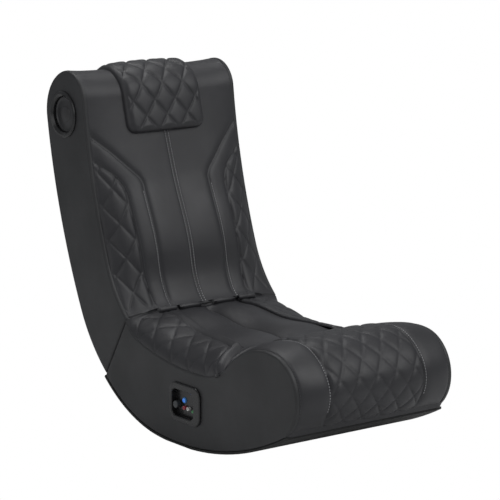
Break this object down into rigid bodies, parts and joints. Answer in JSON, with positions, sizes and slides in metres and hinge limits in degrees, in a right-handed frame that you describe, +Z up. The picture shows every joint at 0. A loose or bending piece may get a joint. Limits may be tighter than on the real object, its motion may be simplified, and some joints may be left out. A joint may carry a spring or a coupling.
{
  "type": "gaming rocker chair",
  "caption": "Legless gaming rocker chair with black quilted padding, side speakers, a recessed control panel and a back that folds on to the seat.",
  "frame": {"origin": "on the floor, at the middle of the outline seen from above", "axes": "+X to the right seen from the front, +Y to the rear, +Z up"},
  "size_m": [0.441, 0.9774, 0.798],
  "materials": {
    "black_upholstery": "black faux leather over foam",
    "plywood": "raw plywood and board",
    "base_rubber": "dark wear layer",
    "steel": "zinc plated",
    "black_plastic": "matte black",
    "grey_plastic": "satin grey",
    "red_plastic": "red",
    "white_plastic": "white",
    "green_plastic": "green",
    "lit_plastic": "dark cap with a blue light"
  },
  "bodies": {
    "seat": {"seat_side_board_left": "plywood", "seat_side_board_right": "plywood", "seat_rear_rail": "plywood", "seat_mid_rail": "plywood", "seat_front_board": "plywood", "seat_deck": "plywood", "roll_core": "plywood", "seat_frame_screws": "steel", "rocker_board": "plywood", "base_cover": "base_rubber", "seat_side_pad_left": "black_upholstery", "seat_side_pad_right": "black_upholstery", "seat_cushion": "black_upholstery", "front_roll": "black_upholstery", "seat_wing_left": "black_upholstery", "seat_wing_right": "black_upholstery", "hinge_leaves_seat": "steel", "hinge_screws_seat": "steel", "hinge_pins": "steel", "crease_gusset": "black_upholstery", "control_bezel": "black_plastic", "control_screws": "steel", "control_plate": "black_plastic", "amplifier_case": "black_plastic", "amplifier_board": "black_plastic", "phono_socket_red": "red_plastic", "phono_socket_white": "white_plastic", "headphone_socket": "green_plastic", "power_inlet": "black_plastic", "volume_pot": "black_plastic", "power_switch": "black_plastic"},
    "back": {"back_side_board_left": "plywood", "back_side_board_right": "plywood", "back_bottom_rail": "plywood", "back_lumbar_rail": "plywood", "back_shoulder_rail": "plywood", "back_support_panel": "plywood", "back_rear_panel": "plywood", "back_rear_cover": "black_upholstery", "back_frame_screws": "steel", "back_cushion": "black_upholstery", "headrest_pad": "black_upholstery", "back_side_pad_left": "black_upholstery", "back_side_pad_right": "black_upholstery", "hinge_leaves_back": "steel", "hinge_screws_back": "steel", "speaker_bezel_left": "black_plastic", "speaker_bezel_right": "black_plastic", "speaker_grille_left": "black_plastic", "speaker_grille_right": "black_plastic", "speaker_driver_left": "black_plastic", "speaker_driver_right": "black_plastic", "speaker_screws_left": "steel", "speaker_screws_right": "steel"},
    "volume_knob_body": {"volume_shaft": "steel", "volume_knob": "grey_plastic"},
    "power_button_body": {"power_button": "lit_plastic"}
  },
  "joints": [
    {"name": "back_fold", "type": "hinge", "parent": "seat", "child": "back", "pos_m": [0, 0.1485, 0.2585], "axis": [1, 0, 0], "range_deg": [0, 100], "deforming": ["crease_gusset"]},
    {"name": "volume_turn", "type": "hinge", "parent": "seat", "child": "volume_knob_body", "pos_m": [-0.21, -0.042, 0.092], "axis": [-1, 0, 0], "range_deg": [0, 300]},
    {"name": "power_press", "type": "slide", "parent": "seat", "child": "power_button_body", "axis": [1, 0, 0], "range_m": [0, 0.0015], "stiffness_N_per_m": 400}
  ]
}
